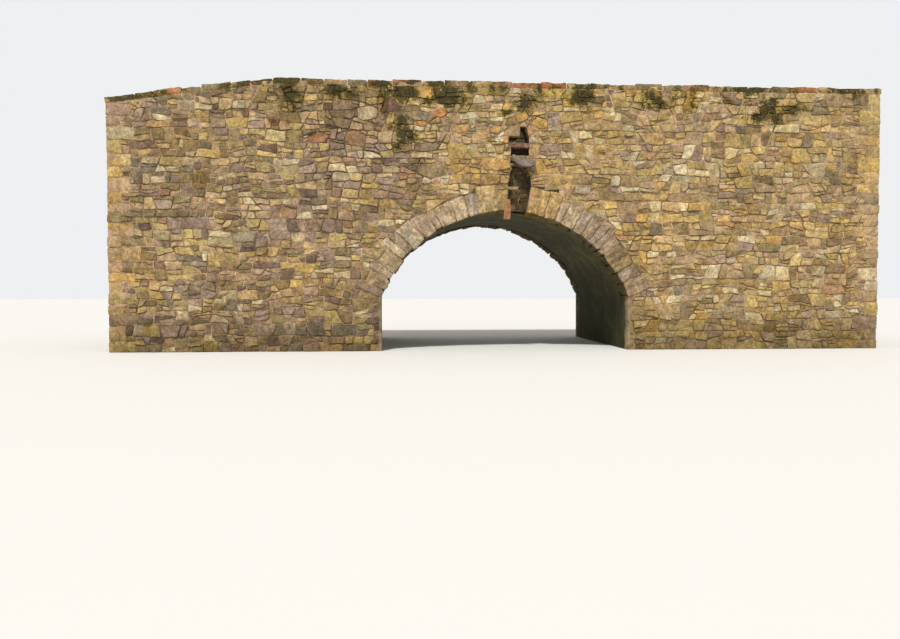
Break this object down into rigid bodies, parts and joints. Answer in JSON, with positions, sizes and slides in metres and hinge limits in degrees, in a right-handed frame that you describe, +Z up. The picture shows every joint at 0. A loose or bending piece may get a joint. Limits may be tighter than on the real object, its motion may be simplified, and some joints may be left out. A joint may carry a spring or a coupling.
{
  "type": "stone arch road bridge",
  "caption": "Small rubble stone road bridge with one round-headed arch, voussoir rings, level parapets with flat coping stones, and a water spout beside the keystone.",
  "frame": {"origin": "middle of the bridge at the level of the feet of the jambs: the centre of the bottom of the bounding box", "axes": "+X along the road, to the right seen from the front face; +Y across the road, from the front face to the back face; +Z up"},
  "size_m": [13.072, 4.3, 4.4994],
  "materials": {
    "rubble_masonry": "rough, weathered, lime mortar joints",
    "dressed_stone": "roughly dressed",
    "coping_stone": "rough, with dark growth stains",
    "grey_stone": "water-worn",
    "render_coat": "damp lime render",
    "earth_fill": "packed rubble and earth",
    "road_gravel": "rolled gravel",
    "rusted_iron": "rust"
  },
  "bodies": {
    "root": {"left_abutment": "rubble_masonry", "right_abutment": "rubble_masonry", "front_spandrel_left": "rubble_masonry", "front_spandrel_crown": "rubble_masonry", "front_spandrel_right": "rubble_masonry", "back_spandrel_left": "rubble_masonry", "back_spandrel_crown": "rubble_masonry", "back_spandrel_right": "rubble_masonry", "front_left_wing": "rubble_masonry", "front_right_wing": "rubble_masonry", "back_left_wing": "rubble_masonry", "back_right_wing": "rubble_masonry", "left_end_wall": "rubble_masonry", "right_end_wall": "rubble_masonry", "front_parapet_left": "rubble_masonry", "front_parapet_middle": "rubble_masonry", "front_parapet_right": "rubble_masonry", "back_parapet_left": "rubble_masonry", "back_parapet_middle": "rubble_masonry", "back_parapet_right": "rubble_masonry", "front_voussoirs_left": "dressed_stone", "front_keystone": "dressed_stone", "front_crown_stone": "dressed_stone", "front_voussoirs_right": "dressed_stone", "back_voussoirs_left": "dressed_stone", "back_keystone": "dressed_stone", "back_voussoirs_right": "dressed_stone", "front_drain_lintel": "dressed_stone", "front_drain_hood": "dressed_stone", "back_drain_lintel": "dressed_stone", "back_drain_hood": "dressed_stone", "front_coping": "coping_stone", "back_coping": "coping_stone", "front_drain_sill": "grey_stone", "front_drain_spout": "grey_stone", "back_drain_sill": "grey_stone", "back_drain_spout": "grey_stone", "barrel_vault": "render_coat", "rubble_fill": "earth_fill", "roadway": "road_gravel", "crown_iron_strip": "rusted_iron"}
  },
  "joints": []
}
